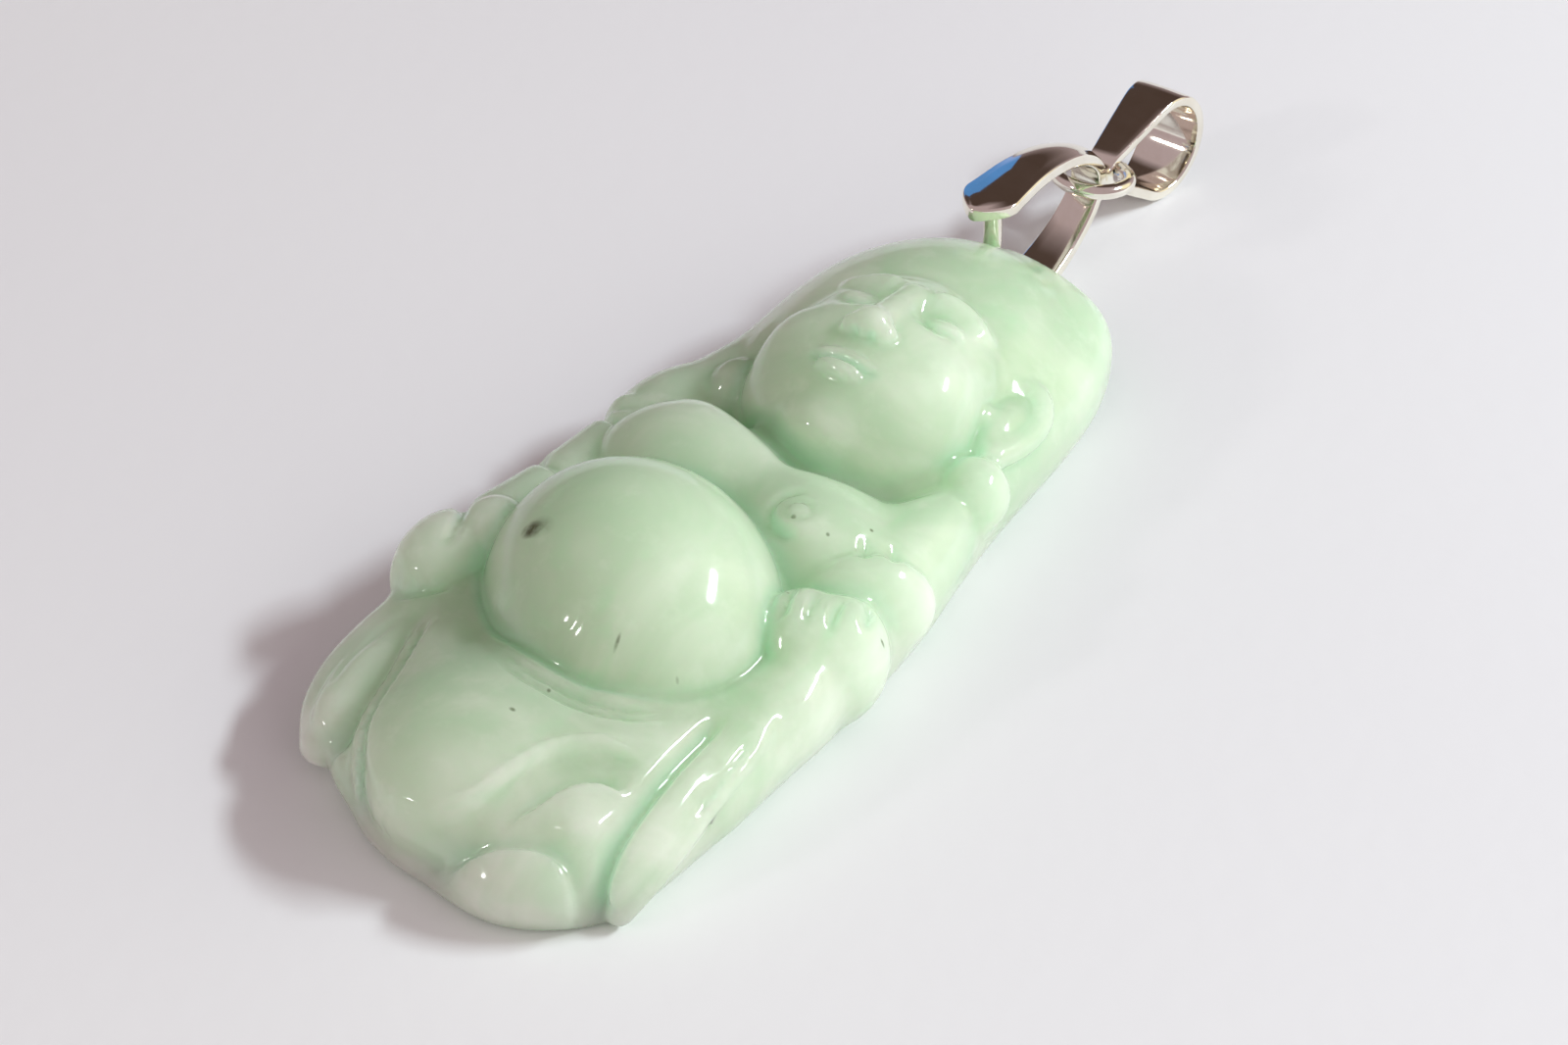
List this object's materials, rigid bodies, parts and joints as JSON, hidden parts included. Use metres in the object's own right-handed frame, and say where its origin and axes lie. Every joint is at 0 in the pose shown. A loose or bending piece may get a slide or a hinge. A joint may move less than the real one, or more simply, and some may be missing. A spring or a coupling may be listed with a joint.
{
  "type": "jade pendant",
  "caption": "Carved pale green jade pendant of a pot-bellied robed figure with a flat back, on a silver pinch bail, jump ring and tapered hanger loop.",
  "frame": {"origin": "middle of the jade's flat back, which lies on the table", "axes": "+Z out of the figure's front, +Y along the pendant towards the head and the bails, +X to the viewer's right"},
  "size_m": [0.0181, 0.0544, 0.0083],
  "materials": {
    "jade": "polished",
    "silver": "polished"
  },
  "bodies": {
    "jade": {"jade_figure": "jade"},
    "lower_bail": {"pinch_bail": "silver", "front_peg": "silver", "rear_peg": "silver"},
    "ring": {"jump_ring": "silver"},
    "hanger": {"hanger_bail": "silver"}
  },
  "joints": [
    {"name": "bail_swing", "type": "hinge", "parent": "jade", "child": "lower_bail", "pos_m": [0, 0.01895, 0.00341], "axis": [0, 0, 1], "range_deg": [-60, 60]},
    {"name": "ring_swing", "type": "hinge", "parent": "lower_bail", "child": "ring", "pos_m": [0.0004, 0.02552, 0.00341], "axis": [0.9981, -0.061, 0], "range_deg": [-50, 50]},
    {"name": "hanger_swing", "type": "hinge", "parent": "ring", "child": "hanger", "pos_m": [0.00059, 0.02854, 0.00296], "axis": [0.9981, -0.061, 0], "range_deg": [-70, 70]}
  ]
}
